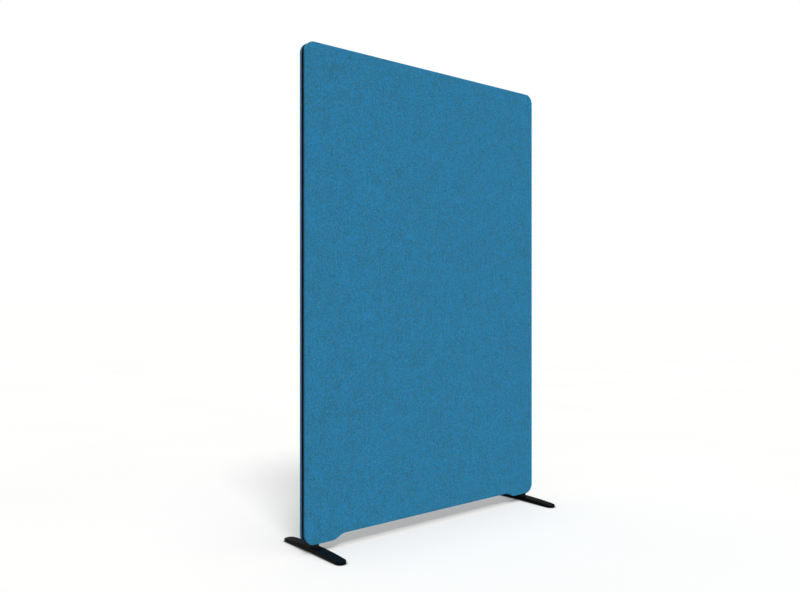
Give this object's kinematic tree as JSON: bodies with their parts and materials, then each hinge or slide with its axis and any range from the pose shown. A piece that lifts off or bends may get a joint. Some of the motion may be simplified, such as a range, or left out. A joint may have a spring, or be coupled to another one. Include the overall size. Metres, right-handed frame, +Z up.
{
  "type": "floor screen",
  "caption": "Free-standing fabric-covered acoustic floor screen with rounded corners, a zip round its edge and arched swivelling bar feet.",
  "frame": {"origin": "on the floor under the middle of the panel", "axes": "+Z up; X along the panel's width; Y through its thickness, with the front at -Y"},
  "size_m": [1.0037, 0.3, 1.5],
  "materials": {
    "melange_fabric": "matte",
    "wadding": "matte",
    "zip_tape": "matte",
    "zip_coil": "satin",
    "zip_metal": "satin",
    "frame_wood": "matte",
    "dowel_wood": "matte",
    "absorber": "matte",
    "insert_steel": "satin",
    "foot_steel": "satin",
    "spacer_steel": "satin",
    "fastener_steel": "satin",
    "glide_rubber": "matte"
  },
  "bodies": {
    "panel": {"front_cover": "melange_fabric", "back_cover": "melange_fabric", "front_wadding": "wadding", "back_wadding": "wadding", "front_zip_tape": "zip_tape", "back_zip_tape": "zip_tape", "front_zip_coil": "zip_coil", "back_zip_coil": "zip_coil", "zip_stops": "zip_metal", "top_rail": "frame_wood", "bottom_rail": "frame_wood", "left_stile": "frame_wood", "right_stile": "frame_wood", "middle_rail": "frame_wood", "frame_dowels": "dowel_wood", "lower_core": "absorber", "upper_core": "absorber", "threaded_inserts": "insert_steel", "spacers": "spacer_steel", "washers": "fastener_steel", "foot_bolts": "fastener_steel"},
    "left_foot": {"left_foot": "foot_steel", "left_glides": "glide_rubber"},
    "right_foot": {"right_foot": "foot_steel", "right_glides": "glide_rubber"},
    "zip_slider": {"zip_slider": "zip_metal"},
    "zip_pull": {"zip_pull": "zip_metal"}
  },
  "joints": [
    {"name": "left_foot_swivel", "type": "hinge", "parent": "panel", "child": "left_foot", "pos_m": [-0.46, 0, 0.0122], "axis": [0, 0, 1], "range_deg": [-90, 90]},
    {"name": "right_foot_swivel", "type": "hinge", "parent": "panel", "child": "right_foot", "pos_m": [0.46, 0, 0.0122], "axis": [0, 0, 1], "range_deg": [-90, 90]},
    {"name": "zip_slide", "type": "slide", "parent": "panel", "child": "zip_slider", "axis": [0, 0, 1], "range_m": [0, 1.39]},
    {"name": "pull_flip", "type": "hinge", "parent": "zip_slider", "child": "zip_pull", "pos_m": [0.50245, 0, 0.06725], "axis": [0, -1, 0], "range_deg": [0, 180]}
  ]
}
